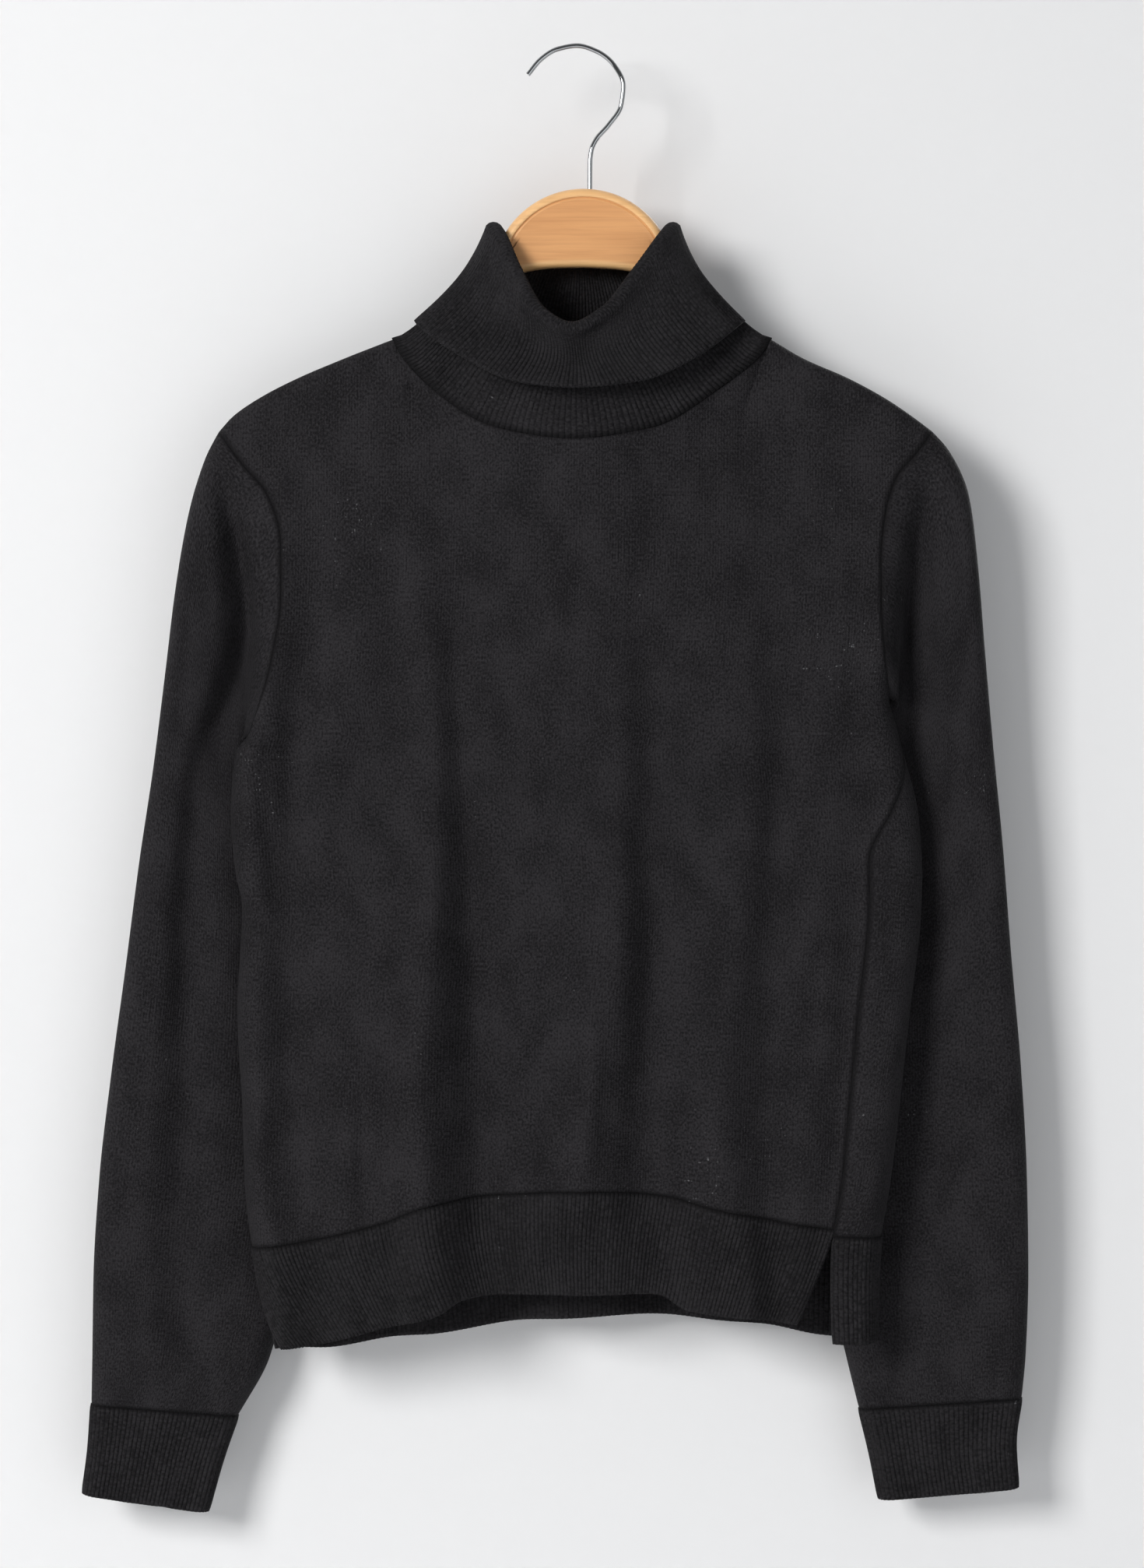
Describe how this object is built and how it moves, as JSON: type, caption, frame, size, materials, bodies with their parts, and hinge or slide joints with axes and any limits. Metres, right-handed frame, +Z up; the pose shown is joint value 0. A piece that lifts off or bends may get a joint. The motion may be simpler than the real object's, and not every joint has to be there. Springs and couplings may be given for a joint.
{
  "type": "turtleneck sweater on a hanger",
  "caption": "Black fine-knit turtleneck sweater with a ribbed folded collar, cuffs and slit hem bands, hanging on a contoured wooden hanger with a wire hook.",
  "frame": {"origin": "top of the inside of the hanger's hook, where it rests on a rail, in the middle of the wire's thickness", "axes": "+X to the right seen from the front, +Z up, +Y to the back, so the front faces -Y"},
  "size_m": [0.5389, 0.0909, 0.8336],
  "materials": {
    "plain_knit": "matt black fine plain knit with a soft sheen",
    "ribbed_knit": "matt black fine ribbed knit",
    "hanger_wood": "satin clear lacquer on light orange-brown wood",
    "hook_wire": "bright chrome"
  },
  "bodies": {
    "root": {"front": "plain_knit", "back": "plain_knit", "sleeve_left": "plain_knit", "sleeve_right": "plain_knit", "collar": "ribbed_knit", "hem_band_front": "ribbed_knit", "hem_band_back": "ribbed_knit", "cuff_left": "ribbed_knit", "cuff_right": "ribbed_knit", "hanger_body": "hanger_wood", "hanger_hook": "hook_wire"}
  },
  "joints": []
}
